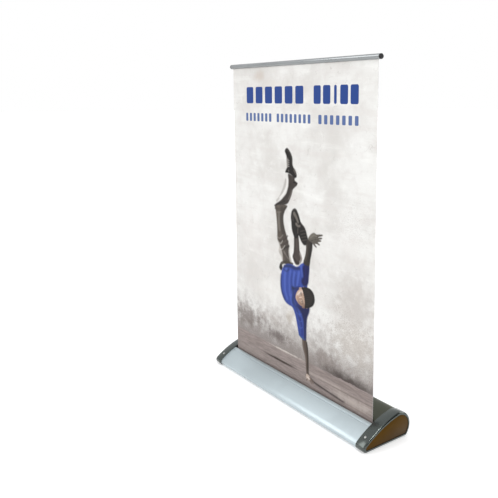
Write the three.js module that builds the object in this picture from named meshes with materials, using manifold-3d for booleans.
// Desktop roll-up banner stand: a low extruded base with moulded end caps, a sprung
// roller, a printed film that pulls up through a slot, and a telescopic pole that holds
// the top rail. Millimetres, X along the base, Y to the rear, Z up. The origin is the
// middle of the base's footprint, on the surface that the stand rests on.
import * as THREE from 'three';
import { mergeVertices } from 'three/addons/utils/BufferGeometryUtils.js';
import Module from 'manifold-3d';

const wasm = await Module();
wasm.setup();

// ---- driving dimensions ---------------------------------------------------------------
const gap = 0.3;                    // clearance between pieces that touch
const runningGap = 0.35;            // clearance round a piece that turns or slides

const bannerWidth = 297;            // printed film, across
const bannerHeight = 420;           // printed film that shows, lip to rail
const filmThickness = 0.3;

const extrusionOverhang = 2.5;      // base extrusion past each edge of the film
const baseDepth = 75;
const baseHeight = 31.5;            // underside of the floor to the crown
const rearRadius = 18;              // round back of the section
const noseRadius = 4.6;             // front bottom edge
const frontRadius = 130;            // long front face
const wall = 1.6;                   // extruded walls
const filmSetback = 29.2;           // front edge of the base to the film
const slotFront = 3;                // film to the front lip
const slotRear = 3;                 // film to the guide edge of the rear cover
const beadRadius = 1.4;             // rolled edges of the slot
const creaseRadius = 0.6;           // line pressed along the front face, under the lip
const creaseSetback = 4.6;
const footThickness = 1;
const footWidth = 9;
const footInset = 4;                // foot strip back from each long edge

const capProud = 0.8;               // cap past the extrusion all round
const capRim = 12.3;                 // straight part of the cap
const capBevel = 2.2;
const capWall = 2.5;
const capFloor = 2.5;               // cap's end wall
const plateInset = 3.2;             // cap outline to the end plate's pocket
const plateThickness = 1.3;
const bossRadius = 2.6;             // screw bosses in the extrusions and caps
const bossWebWidth = 2.2;
const screwRadius = 1;              // every screw's shank
const screwHeadRadius = 1.9;
const screwHeadHeight = 1.2;
const screwLength = 16;

const tubeRadius = 6.5;             // roller tube
const tubeWall = 1;
const leaderTurns = 2;              // film left on the roller with the banner up
const fullRollRadius = 9.4;         // roller with all the film on it
const mandrelRadius = 1.6;
const springRadius = 3.6;           // middle of the wire
const springWire = 0.45;
const springTurns = 12;
const springLength = 62;
const bushWall = 1.4;
const plugFlange = 2.2;

const railRadius = 3.1;
const railBore = 1.6;
const railSlot = 0.95;
const railOverhang = 2.4;           // rail past each edge of the film
const railPlugLength = 2.2;
const hemRadius = 1.15;

const clipWidth = 22;               // catch on the back of the rail
const clipDepth = 7;
const clipHeight = 7.4;
const catchWidth = 9;               // pocket in the catch, and the prong in it
const catchDepth = 2.6;
const catchHeight = 4;

const poleRadius = 5;               // lower tube
const upperPoleRadius = 3.5;
const poleWall = 0.8;
const lowerPoleLength = 214;
const poleOverlap = 22;             // upper tube inside the lower one when drawn out
const collarRadius = 7.4;
const collarHeight = 20;
const socketWall = 1.9;
const socketHeight = 21;
const hookArmHeight = 5;
const hookArmWidth = 8;

// ---- places worked out from them ------------------------------------------------------
const floorZ = footThickness;
const crownZ = floorZ + baseHeight;
const frontY = -baseDepth / 2;
const rearY = baseDepth / 2;
const filmY = frontY + filmSetback;
const lipY = filmY - slotFront;
const guideY = filmY + slotRear;
const extrusionEnd = bannerWidth / 2 + extrusionOverhang;

const rearCentre = { y: rearY - rearRadius, z: crownZ - rearRadius };
const noseCentre = { y: frontY + noseRadius, z: floorZ + noseRadius };
const faceCentre = tangentCentre();
const lipZ = faceZ(lipY, 0);

const rollRadius = tubeRadius + gap + leaderTurns * filmThickness;
const rollerY = filmY + fullRollRadius;
const rollerZ = floorZ + wall + fullRollRadius + 1.2;

// Screw bosses: two in the front extrusion and one high in the rear cover. Each is as near
// the wall as the head in the cap's pocket allows.
const headInset = plateInset - capProud + gap + screwHeadRadius;
const bossZ = floorZ + headInset;
const rearBossY = rearCentre.y + Math.min(
  reachAt(rearRadius - wall - gap - bossRadius, rearCentre.z - bossZ),
  reachAt(rearRadius - wall, rearCentre.z - floorZ - wall - gap) - gap - bossWebWidth / 2,
);
const socketRadius = poleRadius + gap + socketWall;
const poleY = rearBossY - bossRadius - gap - socketRadius;
const poleFootZ = floorZ + wall + 3;
const railBottom = lipZ + bannerHeight;
const railZ = railBottom + railRadius;

// Half the width of a circle at a height off its centre.
function reachAt(radius, rise) {
  return Math.sqrt(radius ** 2 - rise ** 2);
}

// Centre of the long front arc, which is tangent to the nose and to the round back.
function tangentCentre() {
  const toRear = frontRadius - rearRadius;
  const toNose = frontRadius - noseRadius;
  const dy = rearCentre.y - noseCentre.y;
  const dz = rearCentre.z - noseCentre.z;
  const span = Math.hypot(dy, dz);
  const along = (toNose ** 2 - toRear ** 2 + span ** 2) / (2 * span);
  const aside = Math.sqrt(toNose ** 2 - along ** 2);
  return {
    y: noseCentre.y + (dy * along + dz * aside) / span,
    z: noseCentre.z + (dz * along - dy * aside) / span,
  };
}

// Height of the front face, grown outwards by `grow`, at a place along Y.
function faceZ(y, grow) {
  const r = frontRadius + grow;
  return faceCentre.z + reachAt(r, y - faceCentre.y);
}

function faceAngle(y, grow) {
  return Math.atan2(faceZ(y, grow) - faceCentre.z, y - faceCentre.y);
}

// Angle at which the round back comes down to a height.
function rearAngle(z, grow) {
  return Math.asin((z - rearCentre.z) / (rearRadius + grow));
}

function arc(centre, radius, from, to, steps) {
  return Array.from({ length: steps + 1 }, (_, i) => {
    const a = from + ((to - from) * i) / steps;
    return new THREE.Vector2(centre.y + radius * Math.cos(a), centre.z + radius * Math.sin(a));
  });
}

// Top of the section from one place along the front face to the foot of the round back.
function topCurve(grow, fromAngle, toAngle) {
  const joinAngle = Math.atan2(rearCentre.z - faceCentre.z, rearCentre.y - faceCentre.y);
  return [
    ...arc(faceCentre, frontRadius + grow, fromAngle, joinAngle, 10),
    ...arc(rearCentre, rearRadius + grow, joinAngle, toAngle, 14).slice(1),
  ];
}

// The nose is an arc from the underside up to the long front face.
const noseFoot = 1.5 * Math.PI;

function noseTop() {
  return Math.atan2(noseCentre.z - faceCentre.z, noseCentre.y - faceCentre.y);
}

// Whole outline of the base's section, grown outwards by `grow`.
function outline(grow) {
  return [
    ...arc(noseCentre, noseRadius + grow, noseFoot, noseTop(), 4),
    ...topCurve(grow, noseTop(), rearAngle(floorZ - grow, grow)).slice(1),
  ].reverse();
}

// ---- solids ---------------------------------------------------------------------------
// Turns a section drawn in Y and Z into a bar along X that starts at `x`.
function alongX(points, x, length, holes = []) {
  const shape = new THREE.Shape(points);
  shape.holes = holes.map((hole) => new THREE.Path(hole));
  const bar = new THREE.ExtrudeGeometry(shape, { depth: length, bevelEnabled: false });
  const axes = new THREE.Matrix4().makeBasis(
    new THREE.Vector3(0, 1, 0), new THREE.Vector3(0, 0, 1), new THREE.Vector3(1, 0, 0),
  );
  return bar.applyMatrix4(axes).translate(x, 0, 0);
}

function circle(y, z, radius, sides) {
  return arc({ y, z }, radius, 0, 2 * Math.PI, sides).slice(0, sides);
}

function rodX(y, z, radius, x, length, sides = 16) {
  return alongX(circle(y, z, radius, sides), x, length);
}

function tubeX(y, z, outer, inner, x, length, sides = 20) {
  return alongX(circle(y, z, outer, sides), x, length, [circle(y, z, inner, sides)]);
}

function rodZ(x, y, radius, z, height, sides = 20) {
  const rod = new THREE.CylinderGeometry(radius, radius, height, sides);
  return rod.rotateX(Math.PI / 2).translate(x, y, z + height / 2);
}

function rodY(x, z, radius, y, length, sides = 12) {
  return new THREE.CylinderGeometry(radius, radius, length, sides).translate(x, y + length / 2, z);
}

function block(x, y, z, width, depth, height) {
  return new THREE.BoxGeometry(width, depth, height).translate(x, y, z);
}

// Bar along X whose section changes: each station is a place and an outline of equal count.
function loft(stations) {
  const count = stations[0].points.length;
  const position = stations.flatMap(({ x, points }) => points.flatMap((p) => [x, p.x, p.y]));
  const faces = THREE.ShapeUtils.triangulateShape(stations[0].points, []);
  const last = (stations.length - 1) * count;
  const index = faces.flatMap(([a, b, c]) => [a, c, b, last + a, last + b, last + c]);
  for (let s = 0; s < stations.length - 1; s += 1) {
    for (let i = 0; i < count; i += 1) {
      const a = s * count + i;
      const b = s * count + ((i + 1) % count);
      index.push(a, b, b + count, a, b + count, a + count);
    }
  }
  const body = new THREE.BufferGeometry();
  body.setAttribute('position', new THREE.Float32BufferAttribute(position, 3));
  return body.setIndex(index);
}

function solid(geometry) {
  const bare = geometry.clone();
  bare.deleteAttribute('normal');
  bare.deleteAttribute('uv');
  const merged = mergeVertices(bare, 1e-4);
  return new wasm.Manifold(new wasm.Mesh({
    numProp: 3,
    vertProperties: new Float32Array(merged.attributes.position.array),
    triVerts: new Uint32Array(merged.index.array),
  }));
}

function fromSolid(body) {
  const mesh = body.getMesh();
  const geometry = new THREE.BufferGeometry();
  geometry.setAttribute('position', new THREE.BufferAttribute(mesh.vertProperties, 3));
  return geometry.setIndex(new THREE.BufferAttribute(mesh.triVerts, 1));
}

// Joins `parts` to the first geometry, then cuts `cuts` from the result.
function shaped(first, parts, cuts = []) {
  let body = solid(first);
  for (const part of parts) body = body.add(solid(part));
  for (const cut of cuts) body = body.subtract(solid(cut));
  return fromSolid(body);
}

// The same piece on the other end of the base.
function mirrored(geometry) {
  const other = geometry.clone().applyMatrix4(new THREE.Matrix4().makeScale(-1, 1, 1));
  if (!other.index) other.setIndex([...Array(other.attributes.position.count).keys()]);
  const index = other.index.array;
  for (let i = 0; i < index.length; i += 3) {
    [index[i + 1], index[i + 2]] = [index[i + 2], index[i + 1]];
  }
  return other;
}

// ---- materials ------------------------------------------------------------------------
function look(color, roughness, metalness) {
  return new THREE.MeshStandardMaterial({ color, roughness, metalness });
}

const silver = look(0xc3d0d8, 0.35, 0.8);
const darkAnodised = look(0x4a4c40, 0.4, 0.6);
const chromePlastic = look(0x5d686c, 0.15, 0.9);
const bronzePlate = look(0x5a3c18, 0.3, 0.4);
const steel = look(0x9a9a98, 0.3, 0.9);
const greyAluminium = look(0x969a98, 0.4, 0.8);
const blackPlastic = look(0x1c1c1e, 0.5, 0);
const nylon = look(0xe0ddd0, 0.6, 0);
const rubber = look(0x222222, 0.9, 0);
const print = look(0xe2e0dc, 0.6, 0);

const group = new THREE.Group();

function addPiece(name, geometry, material) {
  const mesh = new THREE.Mesh(geometry, material);
  mesh.name = name;
  group.add(mesh);
}

// ---- base -----------------------------------------------------------------------------
const upperBossAngle = 0.6;
const screwPlaces = [
  { y: frontY + 15, z: bossZ, toWall: -Math.PI / 2, in: 'front' },
  { y: rearBossY, z: bossZ, toWall: -Math.PI / 2, in: 'front' },
  {
    y: rearCentre.y + (rearRadius - headInset) * Math.cos(upperBossAngle),
    z: rearCentre.z + (rearRadius - headInset) * Math.sin(upperBossAngle),
    toWall: upperBossAngle,
    in: 'rear',
  },
];

function bosses(where) {
  return screwPlaces.filter((p) => p.in === where).flatMap((p) => [
    rodX(p.y, p.z, bossRadius, -extrusionEnd, 2 * extrusionEnd, 12),
    bossWeb(p),
  ]);
}

// Rib from a boss to the wall that it stands on.
function bossWeb(place) {
  const ahead = new THREE.Vector2(Math.cos(place.toWall), Math.sin(place.toWall));
  const aside = new THREE.Vector2(-ahead.y, ahead.x).multiplyScalar(bossWebWidth / 2);
  const centre = new THREE.Vector2(place.y, place.z);
  const root = centre.clone().addScaledVector(ahead, headInset - wall / 2);
  return alongX([
    centre.clone().sub(aside), root.clone().sub(aside), root.clone().add(aside), centre.clone().add(aside),
  ], -extrusionEnd, 2 * extrusionEnd);
}

function bossHoles(where) {
  return screwPlaces.filter((p) => p.in === where)
    .map((p) => rodX(p.y, p.z, screwRadius + gap, -extrusionEnd - 1, 2 * extrusionEnd + 2, 10));
}

const socketScrewX = socketRadius + screwHeadRadius + 2;

function baseExtrusion() {
  const outer = [
    ...arc(faceCentre, frontRadius, faceAngle(lipY, 0), noseTop(), 10),
    ...arc(noseCentre, noseRadius, noseTop(), noseFoot, 4).slice(1),
    new THREE.Vector2(rearCentre.y + rearRadius * Math.cos(rearAngle(floorZ, 0)), floorZ),
    new THREE.Vector2(rearCentre.y + rearRadius * Math.cos(rearAngle(floorZ + wall, 0)), floorZ + wall),
  ];
  const inner = [
    ...arc(noseCentre, noseRadius - wall, noseFoot, noseTop(), 3),
    ...arc(faceCentre, frontRadius - wall, noseTop(), faceAngle(lipY, -wall), 10).slice(1),
  ];
  const lipBead = rodX(lipY - 0.6, faceZ(lipY - 0.6, -beadRadius), beadRadius,
    -extrusionEnd, 2 * extrusionEnd, 14);
  const creaseY = lipY - creaseSetback;
  const crease = rodX(creaseY, faceZ(creaseY, 0.15), creaseRadius, -extrusionEnd - 1,
    2 * extrusionEnd + 2, 8);
  const screwHoles = [-1, 1].map((side) => (
    rodZ(side * socketScrewX, poleY, screwRadius + gap, floorZ - 1, wall + 2, 10)));
  return shaped(alongX([...outer, ...inner], -extrusionEnd, 2 * extrusionEnd),
    [lipBead, ...bosses('front')], [...bossHoles('front'), crease, ...screwHoles]);
}

function rearCover() {
  const footZ = floorZ + wall + gap;
  const start = faceAngle(guideY, 0);
  const outer = topCurve(0, start, rearAngle(footZ, 0));
  const inner = topCurve(-wall, faceAngle(guideY, -wall), rearAngle(footZ, -wall)).reverse();
  const guideBead = rodX(guideY + 0.4, faceZ(guideY + 0.4, -beadRadius), beadRadius,
    -extrusionEnd, 2 * extrusionEnd, 14);
  const poleHole = rodZ(0, poleY, poleRadius + 2 * gap + 0.9, crownZ - 6, 12, 24);
  return shaped(alongX([...outer, ...inner], -extrusionEnd, 2 * extrusionEnd),
    [guideBead, ...bosses('rear')], [...bossHoles('rear'), poleHole]);
}

function footStrip(y) {
  return block(0, y, footThickness / 2 - gap / 2, 2 * extrusionEnd - 12, footWidth, footThickness - gap);
}

// ---- end caps -------------------------------------------------------------------------
const capStart = extrusionEnd + gap;
const capEnd = capStart + capRim + capBevel;
const plateOuter = capEnd - 0.3;
const pocketX = plateOuter - plateThickness - gap - screwHeadHeight - gap;
const capInner = pocketX - capFloor;
const rollerBossRadius = mandrelRadius + bushWall + gap + 1.8;
const rollerBossStart = extrusionEnd + 4.5;
const seatEnd = capInner - 0.4;     // blind end of the bush's or the mandrel's seat
const grubY = frontY + 9;

function endCap(side) {
  const stations = [{ x: capStart, points: outline(capProud) }];
  for (let i = 0; i <= 3; i += 1) {
    const a = (i / 3) * (Math.PI / 2);
    stations.push({
      x: capStart + capRim + capBevel * Math.sin(a),
      points: outline(capProud - capBevel * (1 - Math.cos(a))),
    });
  }
  const cavity = alongX(outline(capProud - capWall), capStart - 1, capInner - capStart + 1);
  const pocket = alongX(outline(capProud - plateInset), pocketX, capEnd - pocketX + 1);
  const posts = screwPlaces.map((p) => (
    rodX(p.y, p.z, bossRadius, capStart, capInner - capStart + 0.5, 12)));
  const rollerBoss = rodX(rollerY, rollerZ, rollerBossRadius, rollerBossStart,
    capInner - rollerBossStart + 0.5, 18);
  const holes = screwPlaces.map((p) => (
    rodX(p.y, p.z, screwRadius + gap, capStart - 1, pocketX - capStart + 2, 10)));
  const seat = side === 'right'
    ? rodX(rollerY, rollerZ, mandrelRadius + runningGap + bushWall + gap, rollerBossStart - 1,
      seatEnd - rollerBossStart + 1, 18)
    : block((rollerBossStart - 1 + seatEnd) / 2, rollerY, rollerZ, seatEnd - rollerBossStart + 1,
      2 * mandrelRadius + 2 * gap, 2 * mandrelRadius + 2 * gap);
  const grubHole = grubScrewAt(screwRadius + gap + 0.5, 3, 6, 12);
  const hollow = solid(loft(stations)).subtract(solid(cavity));
  let body = hollow;
  for (const post of [...posts, rollerBoss]) body = body.add(solid(post));
  for (const cut of [pocket, seat, grubHole, ...holes]) body = body.subtract(solid(cut));
  return fromSolid(body);
}

// A short screw square to the front face of the cap's rim; `out` and `back` are its reach
// outside and inside the face.
function grubScrewAt(radius, out, back, sides) {
  const a = faceAngle(grubY, capProud);
  const middle = frontRadius + capProud + (out - back) / 2;
  const rod = new THREE.CylinderGeometry(radius, radius, out + back, sides);
  rod.rotateX(a);
  return rod.translate(capStart + capRim / 2, faceCentre.y + middle * Math.cos(a),
    faceCentre.z + middle * Math.sin(a));
}

function endPlate() {
  return alongX(outline(capProud - plateInset - gap), plateOuter - plateThickness, plateThickness);
}

function capScrew(place) {
  const head = rodX(place.y, place.z, screwHeadRadius, pocketX + gap, screwHeadHeight, 12);
  const shank = rodX(place.y, place.z, screwRadius, pocketX + gap + 0.4 - screwLength, screwLength, 8);
  const slot = block(pocketX + gap + screwHeadHeight, place.y, place.z, 1, 0.7, 2.6);
  return shaped(head, [shank], [slot]);
}

// ---- roller ---------------------------------------------------------------------------
const tubeEnd = bannerWidth / 2 + 0.8;
const plugStart = tubeEnd + gap;
const spigotRadius = tubeRadius - tubeWall - gap;

function rollerTube() {
  return tubeX(rollerY, rollerZ, tubeRadius, tubeRadius - tubeWall, -tubeEnd, 2 * tubeEnd, 24);
}

function woundFilm() {
  return tubeX(rollerY, rollerZ, rollRadius, tubeRadius + gap, -bannerWidth / 2, bannerWidth, 28);
}

// Right-hand plug with the stub axle that turns in the bush.
function axlePlug() {
  const flange = rodX(rollerY, rollerZ, tubeRadius + 0.6, plugStart, plugFlange, 24);
  const spigot = rodX(rollerY, rollerZ, spigotRadius, plugStart - 10, 10.5, 20);
  const axle = rodX(rollerY, rollerZ, mandrelRadius, plugStart + plugFlange - 0.5,
    seatEnd - gap - plugStart - plugFlange, 14);
  return shaped(flange, [spigot, axle]);
}

// Left-hand plug, drilled for the mandrel; built on the right and mirrored.
function springPlug() {
  const flange = rodX(rollerY, rollerZ, tubeRadius + 0.6, plugStart, plugFlange, 24);
  const spigot = rodX(rollerY, rollerZ, spigotRadius, plugStart - 10, 10.5, 20);
  const hole = rodX(rollerY, rollerZ, mandrelRadius + runningGap, plugStart - 12, 20, 16);
  return shaped(flange, [spigot], [hole]);
}

const mandrelReach = springLength + 22;

function mandrel() {
  const inner = tubeEnd - mandrelReach;
  const rod = rodX(rollerY, rollerZ, mandrelRadius, inner, plugStart + plugFlange + 0.6 - inner, 16);
  const squareStart = plugStart + plugFlange + gap;
  const square = block((squareStart + seatEnd - gap) / 2, rollerY, rollerZ,
    seatEnd - gap - squareStart, 2 * mandrelRadius, 2 * mandrelRadius);
  const collar = rodX(rollerY, rollerZ, mandrelRadius + 0.9, inner, 3, 14);
  return shaped(rod, [square, collar]);
}

function torsionSpring() {
  class Helix extends THREE.Curve {
    getPoint(t, target = new THREE.Vector3()) {
      const a = t * springTurns * 2 * Math.PI;
      return target.set(tubeEnd - 14 - springLength * t, rollerY + springRadius * Math.cos(a),
        rollerZ + springRadius * Math.sin(a));
    }
  }
  const wire = new THREE.Shape(circle(0, 0, springWire, 6));
  return new THREE.ExtrudeGeometry(wire, {
    steps: springTurns * 12, bevelEnabled: false, extrudePath: new Helix(),
  });
}

function axleBush() {
  return tubeX(rollerY, rollerZ, mandrelRadius + runningGap + bushWall, mandrelRadius + runningGap,
    rollerBossStart, seatEnd - gap - rollerBossStart, 18);
}

// ---- film -----------------------------------------------------------------------------
const filmFoot = lipZ - 4;

// Film from the roller up to the slot.
function leaderWeb() {
  const start = { y: rollerY - rollRadius - gap, z: rollerZ };
  const top = { y: filmY, z: filmFoot - gap };
  return alongX([
    new THREE.Vector2(start.y, start.z), new THREE.Vector2(top.y + filmThickness / 2, top.z),
    new THREE.Vector2(top.y - filmThickness / 2, top.z),
    new THREE.Vector2(start.y - filmThickness, start.z),
  ], -bannerWidth / 2, bannerWidth);
}

function graphicSheet() {
  const top = railZ - hemRadius - gap;
  return block(0, filmY, (filmFoot + top) / 2, bannerWidth, filmThickness, top - filmFoot);
}

// ---- rail -----------------------------------------------------------------------------
const railEnd = bannerWidth / 2 + railOverhang;
const clipFrontY = filmY + railRadius - 1.6;
const clipBackY = clipFrontY + clipDepth;
const clipTopZ = railZ + railRadius - 0.6;
const clipBottomZ = clipTopZ - clipHeight;
const catchY = clipBackY - 1.5 - catchDepth / 2;
const clipScrewX = clipWidth / 2 - 3;

function topRail() {
  const bore = rodX(filmY, railZ, railBore, -railEnd - 1, 2 * railEnd + 2, 16);
  const slot = block(0, filmY, railZ - railRadius, 2 * railEnd + 2, railSlot, 2 * railRadius - 1);
  const holes = [-1, 1].map((s) => rodY(s * clipScrewX, railZ, screwRadius + gap, filmY, 5, 10));
  const flatBack = block(0, filmY + railRadius + 4.5, railZ, 2 * railEnd + 2, 10, 20);
  return shaped(rodX(filmY, railZ, railRadius, -railEnd, 2 * railEnd, 28), [],
    [bore, slot, ...holes, flatBack]);
}

function hemRod() {
  return rodX(filmY, railZ, hemRadius, -bannerWidth / 2, bannerWidth, 14);
}

function railPlug() {
  const head = rodX(filmY, railZ, railRadius, railEnd + gap, railPlugLength - 1, 28);
  const nose = rodX(filmY, railZ, railRadius - 0.7, railEnd + gap + railPlugLength - 1.4, 1.4, 28);
  const spigot = rodX(filmY, railZ, railBore - gap, bannerWidth / 2 + gap,
    railEnd - bannerWidth / 2 + 0.4, 12);
  return shaped(head, [nose, spigot]);
}

function railClip() {
  const width = clipWidth;
  const body = block(0, (clipFrontY + clipBackY) / 2, (clipTopZ + clipBottomZ) / 2, width, clipDepth,
    clipHeight);
  const railRoom = block(0, clipFrontY, railZ, width + 2, 2 * (filmY + railRadius - 0.5 + gap - clipFrontY),
    20);
  const pocket = block(0, catchY, clipBottomZ + catchHeight / 2 - 1, catchWidth + 2 * gap + 1,
    catchDepth + 2 * gap, catchHeight + 2);
  const holes = [-1, 1].map((s) => rodY(s * clipScrewX, railZ, screwRadius + gap, clipFrontY - 2, 12, 10));
  return shaped(body, [], [railRoom, pocket, ...holes]);
}

function clipScrew(side) {
  const head = rodY(side * clipScrewX, railZ, screwHeadRadius, clipBackY + gap, screwHeadHeight, 12);
  const tip = filmY + railBore + gap;
  const shank = rodY(side * clipScrewX, railZ, screwRadius, tip, clipBackY + gap + 0.4 - tip, 8);
  return shaped(head, [shank]);
}

// ---- pole -----------------------------------------------------------------------------
const poleTopZ = poleFootZ + lowerPoleLength;
const upperFootZ = poleTopZ - poleOverlap;
const hookTopZ = clipBottomZ - gap;
const upperTopZ = hookTopZ - 1;

function tubeZ(y, outer, inner, z, height, sides = 20) {
  return shaped(rodZ(0, y, outer, z, height, sides), [], [rodZ(0, y, inner, z - 1, height + 2, sides)]);
}

function poleSocket() {
  const flange = block(0, poleY, floorZ + wall + gap + 1.2, 2 * socketScrewX + 8, 11, 2.4);
  const sleeve = rodZ(0, poleY, socketRadius, floorZ + wall + gap, socketHeight, 24);
  const bore = rodZ(0, poleY, poleRadius + gap, poleFootZ - gap, socketHeight, 24);
  const holes = [-1, 1].map((s) => (
    rodZ(s * socketScrewX, poleY, screwRadius + gap, floorZ, 8, 10)));
  return shaped(flange, [sleeve], [bore, ...holes]);
}

function socketScrew(side) {
  const top = floorZ + wall + gap + 2.4 + gap;
  const head = rodZ(side * socketScrewX, poleY, screwHeadRadius, top, screwHeadHeight, 12);
  const shank = rodZ(side * socketScrewX, poleY, screwRadius, floorZ + 0.2, top - floorZ + 0.2, 8);
  return shaped(head, [shank]);
}

// Trim ring that seats on the curved crown round the pole.
function poleGrommet() {
  const flange = rodZ(0, poleY, poleRadius + 3.8, crownZ - 4, 5, 24);
  const under = alongX(outline(gap), -20, 40);
  const sleeve = rodZ(0, poleY, poleRadius + gap + 0.9, crownZ - 3.5, 4, 24);
  const bore = rodZ(0, poleY, poleRadius + gap, crownZ - 6, 10, 24);
  const body = solid(flange).subtract(solid(under)).add(solid(sleeve)).subtract(solid(bore));
  return fromSolid(body);
}

function lowerPole() {
  return tubeZ(poleY, poleRadius, poleRadius - poleWall, poleFootZ, lowerPoleLength);
}

function poleFoot() {
  return rodZ(0, poleY, poleRadius - poleWall - gap, poleFootZ + 0.3, 8, 16);
}

function upperPole() {
  return tubeZ(poleY, upperPoleRadius, upperPoleRadius - poleWall, upperFootZ, upperTopZ - upperFootZ);
}

// Plug in the foot of the upper tube; its flange guides the tube in the lower one.
function upperPoleGuide() {
  const flange = rodZ(0, poleY, poleRadius - poleWall - runningGap, upperFootZ - gap - 4, 4, 18);
  const spigot = rodZ(0, poleY, upperPoleRadius - poleWall - gap, upperFootZ - gap - 1, 8, 14);
  return shaped(flange, [spigot]);
}

function lockCollar() {
  const foot = poleTopZ - 12;
  const body = rodZ(0, poleY, collarRadius, foot, collarHeight, 24);
  const taper = rodZ(0, poleY, collarRadius - 1.2, foot + collarHeight - 0.5, 2.5, 24);
  const lowerRoom = rodZ(0, poleY, poleRadius + runningGap, foot - 1, 13 + runningGap, 20);
  const upperRoom = rodZ(0, poleY, upperPoleRadius + runningGap, foot, collarHeight + 4, 20);
  const flutes = Array.from({ length: 10 }, (_, i) => {
    const a = (i * Math.PI) / 5;
    return rodZ((collarRadius + 0.5) * Math.cos(a), poleY + (collarRadius + 0.5) * Math.sin(a), 1.1,
      foot + 3, collarHeight - 6, 8);
  });
  return shaped(body, [taper], [lowerRoom, upperRoom, ...flutes]);
}

function poleHook() {
  const armZ = hookTopZ - hookArmHeight;
  const headRadius = upperPoleRadius + gap + 1.6;
  const head = rodZ(0, poleY, headRadius, armZ - 9, hookTopZ - armZ + 9, 22);
  const armFront = catchY - catchDepth / 2 - 0.8;
  const arm = block(0, (armFront + poleY) / 2, hookTopZ - hookArmHeight / 2, hookArmWidth,
    poleY - armFront, hookArmHeight);
  const prong = block(0, catchY, hookTopZ + catchHeight / 2 - gap - 0.5, catchWidth - 1, catchDepth - 2 * gap,
    catchHeight);
  const socket = rodZ(0, poleY, upperPoleRadius + gap, armZ - 10, upperTopZ + gap - armZ + 10, 20);
  return shaped(head, [arm, prong], [socket]);
}

// ---- the assembly ---------------------------------------------------------------------
addPiece('base_extrusion', baseExtrusion(), silver);
addPiece('rear_cover', rearCover(), darkAnodised);
addPiece('foot_strip_front', footStrip(frontY + footInset + footWidth / 2), rubber);
addPiece('foot_strip_rear', footStrip(rearY - footInset - 4 - footWidth / 2), rubber);

const rightCap = endCap('right');
const leftCap = mirrored(endCap('left'));
addPiece('end_cap_right', rightCap, chromePlastic);
addPiece('end_cap_left', leftCap, chromePlastic);
addPiece('end_plate_right', endPlate(), bronzePlate);
addPiece('end_plate_left', mirrored(endPlate()), bronzePlate);
screwPlaces.forEach((place, i) => {
  addPiece(`cap_screw_right_${i + 1}`, capScrew(place), steel);
  addPiece(`cap_screw_left_${i + 1}`, mirrored(capScrew(place)), steel);
});
addPiece('rim_screw_right', grubScrewAt(screwRadius + 0.5, 0.1, 1.8, 12), steel);
addPiece('rim_screw_left', mirrored(grubScrewAt(screwRadius + 0.5, 0.1, 1.8, 12)), steel);

addPiece('roller_tube', rollerTube(), greyAluminium);
addPiece('wound_film', woundFilm(), print);
addPiece('axle_plug', axlePlug(), nylon);
addPiece('spring_plug', mirrored(springPlug()), nylon);
addPiece('spring_mandrel', mirrored(mandrel()), steel);
addPiece('torsion_spring', mirrored(torsionSpring()), steel);
addPiece('axle_bush', axleBush(), nylon);
addPiece('leader_web', leaderWeb(), print);
addPiece('graphic_sheet', graphicSheet(), print);

addPiece('top_rail', topRail(), greyAluminium);
addPiece('hem_rod', hemRod(), nylon);
addPiece('rail_plug_right', railPlug(), blackPlastic);
addPiece('rail_plug_left', mirrored(railPlug()), blackPlastic);
addPiece('rail_clip', railClip(), blackPlastic);
addPiece('clip_screw_left', clipScrew(-1), steel);
addPiece('clip_screw_right', clipScrew(1), steel);

addPiece('pole_socket', poleSocket(), blackPlastic);
addPiece('socket_screw_left', socketScrew(-1), steel);
addPiece('socket_screw_right', socketScrew(1), steel);
addPiece('pole_grommet', poleGrommet(), blackPlastic);
addPiece('pole_lower', lowerPole(), greyAluminium);
addPiece('pole_foot', poleFoot(), rubber);
addPiece('pole_upper', upperPole(), greyAluminium);
addPiece('pole_guide', upperPoleGuide(), nylon);
addPiece('lock_collar', lockCollar(), blackPlastic);
addPiece('pole_hook', poleHook(), blackPlastic);

export default group;
